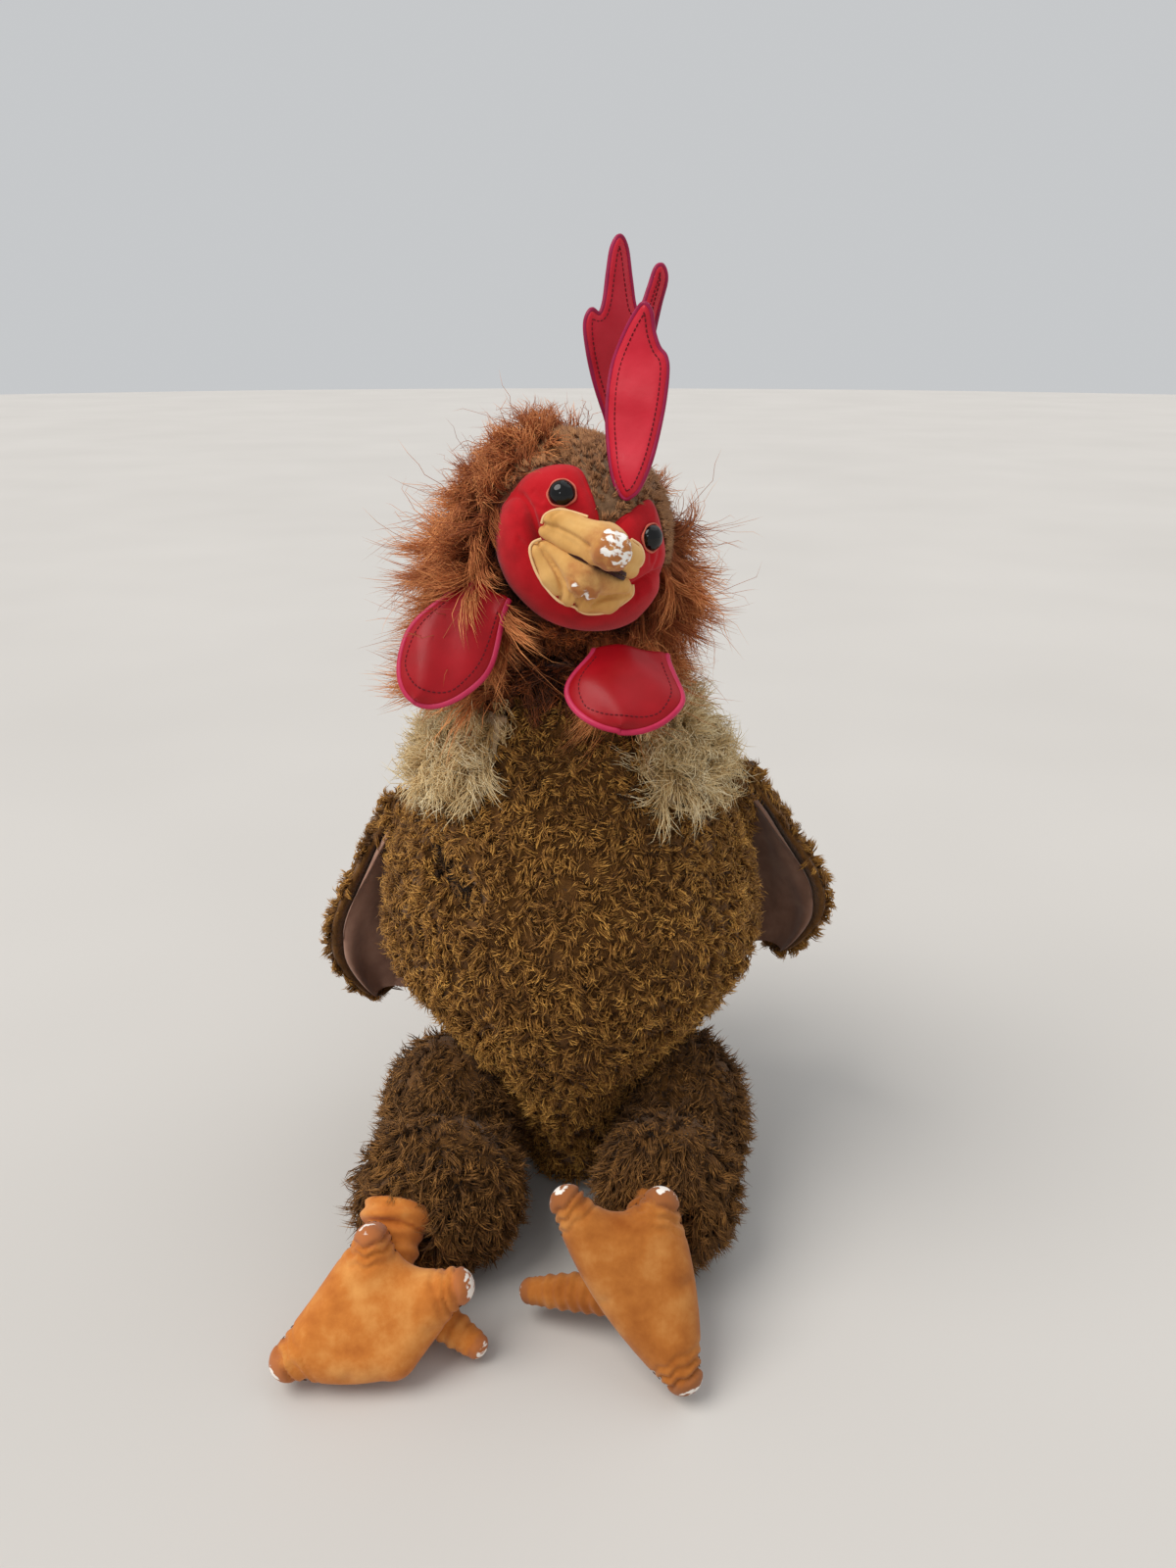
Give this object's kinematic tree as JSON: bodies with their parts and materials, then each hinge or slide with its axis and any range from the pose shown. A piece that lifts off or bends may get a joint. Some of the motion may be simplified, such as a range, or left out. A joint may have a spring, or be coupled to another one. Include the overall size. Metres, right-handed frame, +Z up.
{
  "type": "plush rooster hand puppet",
  "caption": "Seated stuffed rooster hand puppet with a movable head, beak, comb, wattles, wings, legs and feet.",
  "frame": {"origin": "middle of the flat seat that the body sits on", "axes": "+Z up from the seat to the comb, -Y the way the belly and beak face, +X the wing on the viewer's right"},
  "size_m": [0.2601, 0.3112, 0.4394],
  "materials": {
    "brown_plush": "curly pile",
    "crown_plush": "short pile",
    "russet_fur": "long pile",
    "cream_fur": "long curly pile",
    "stuffing": "loose fibre",
    "lining_cloth": "woven",
    "red_velour": "velour",
    "red_satin": "satin",
    "tan_velour": "velour",
    "orange_velour": "velour",
    "suede_lining": "suede",
    "eye_plastic": "glossy",
    "washer_plastic": "moulded",
    "mouth_board": "stiff card"
  },
  "bodies": {
    "torso": {"belly_plush": "brown_plush", "back_plush": "brown_plush", "belly_wadding": "stuffing", "back_wadding": "stuffing", "glove_lining": "lining_cloth", "hem_binding": "lining_cloth", "shoulder_mantle": "cream_fur", "tail_front_plush": "brown_plush", "tail_wadding": "stuffing", "tail_back_plush": "brown_plush"},
    "neck_lower": {"neck_wadding_lower": "stuffing"},
    "neck_upper": {"neck_wadding_upper": "stuffing"},
    "head": {"head_plush": "crown_plush", "head_wadding": "stuffing", "mane": "russet_fur", "cheek_panel_left": "red_velour", "cheek_panel_right": "red_velour", "eye_left": "eye_plastic", "eye_right": "eye_plastic", "eye_washer_left": "washer_plastic", "eye_washer_right": "washer_plastic", "upper_beak": "tan_velour", "upper_mouth_plate": "mouth_board"},
    "jaw": {"chin_panel": "red_velour", "jaw_wadding": "stuffing", "lower_mouth_plate": "mouth_board", "lower_beak": "tan_velour"},
    "comb": {"comb_panel": "red_satin"},
    "wattle_left": {"wattle_left": "red_satin"},
    "wattle_right": {"wattle_right": "red_satin"},
    "wing_left": {"wing_left_plush": "brown_plush", "wing_left_wadding": "stuffing", "wing_left_lining": "suede_lining"},
    "leg_left": {"leg_left_plush": "brown_plush", "leg_left_wadding": "stuffing"},
    "foot_left": {"foot_left_sole": "orange_velour", "foot_left_wadding": "stuffing", "foot_left_upper": "orange_velour", "foot_left_shank": "orange_velour", "foot_left_hind_toe": "orange_velour"},
    "wing_right": {"wing_right_plush": "brown_plush", "wing_right_wadding": "stuffing", "wing_right_lining": "suede_lining"},
    "leg_right": {"leg_right_plush": "brown_plush", "leg_right_wadding": "stuffing"},
    "foot_right": {"foot_right_sole": "orange_velour", "foot_right_wadding": "stuffing", "foot_right_upper": "orange_velour", "foot_right_shank": "orange_velour", "foot_right_hind_toe": "orange_velour"}
  },
  "joints": [
    {"name": "head_turn", "type": "hinge", "parent": "torso", "child": "neck_lower", "pos_m": [-0.0045, -0.015, 0.266], "axis": [0, 0, 1], "range_deg": [-25, 25]},
    {"name": "head_tilt", "type": "hinge", "parent": "neck_lower", "child": "neck_upper", "pos_m": [-0.009, -0.02, 0.286], "axis": [0.2609, -0.9646, 0.0389], "range_deg": [-4, 20]},
    {"name": "head_nod", "type": "hinge", "parent": "neck_upper", "child": "head", "pos_m": [-0.009, -0.02, 0.286], "axis": [0.8645, 0.2156, -0.454], "range_deg": [-10, 18]},
    {"name": "jaw_open", "type": "hinge", "parent": "head", "child": "jaw", "pos_m": [0.0007, -0.0428, 0.3203], "axis": [0.8645, 0.2156, -0.454], "range_deg": [0, 22], "stiffness_Nm_per_rad": 0.02, "springref_deg": -20.05},
    {"name": "comb_sway", "type": "hinge", "parent": "head", "child": "comb", "pos_m": [0.018, -0.045, 0.36], "axis": [0.2609, -0.9646, 0.0389], "range_deg": [-10, 10], "stiffness_Nm_per_rad": 0.03},
    {"name": "wattle_left_swing", "type": "hinge", "parent": "head", "child": "wattle_left", "pos_m": [-0.032, -0.074, 0.309], "axis": [-1, 0, 0], "range_deg": [0, 45]},
    {"name": "wattle_right_swing", "type": "hinge", "parent": "head", "child": "wattle_right", "pos_m": [0.026, -0.07, 0.287], "axis": [-1, 0, 0], "range_deg": [0, 45]},
    {"name": "wing_left_flap", "type": "hinge", "parent": "torso", "child": "wing_left", "pos_m": [-0.088, 0.032, 0.178], "axis": [0, 1, 0], "range_deg": [0, 60]},
    {"name": "wing_right_flap", "type": "hinge", "parent": "torso", "child": "wing_right", "pos_m": [0.086, 0.032, 0.196], "axis": [0, -1, 0], "range_deg": [0, 60]},
    {"name": "hip_left", "type": "hinge", "parent": "torso", "child": "leg_left", "pos_m": [-0.058, -0.016, 0.016], "axis": [1, 0, 0], "range_deg": [0, 70]},
    {"name": "hip_right", "type": "hinge", "parent": "torso", "child": "leg_right", "pos_m": [0.053, -0.016, 0.016], "axis": [1, 0, 0], "range_deg": [0, 70]},
    {"name": "ankle_left", "type": "hinge", "parent": "leg_left", "child": "foot_left", "pos_m": [-0.074, -0.111, 0.05], "axis": [1, 0, 0], "range_deg": [-12, 12]},
    {"name": "ankle_right", "type": "hinge", "parent": "leg_right", "child": "foot_right", "pos_m": [0.04, -0.108, 0.048], "axis": [1, 0, 0], "range_deg": [-12, 12]}
  ]
}
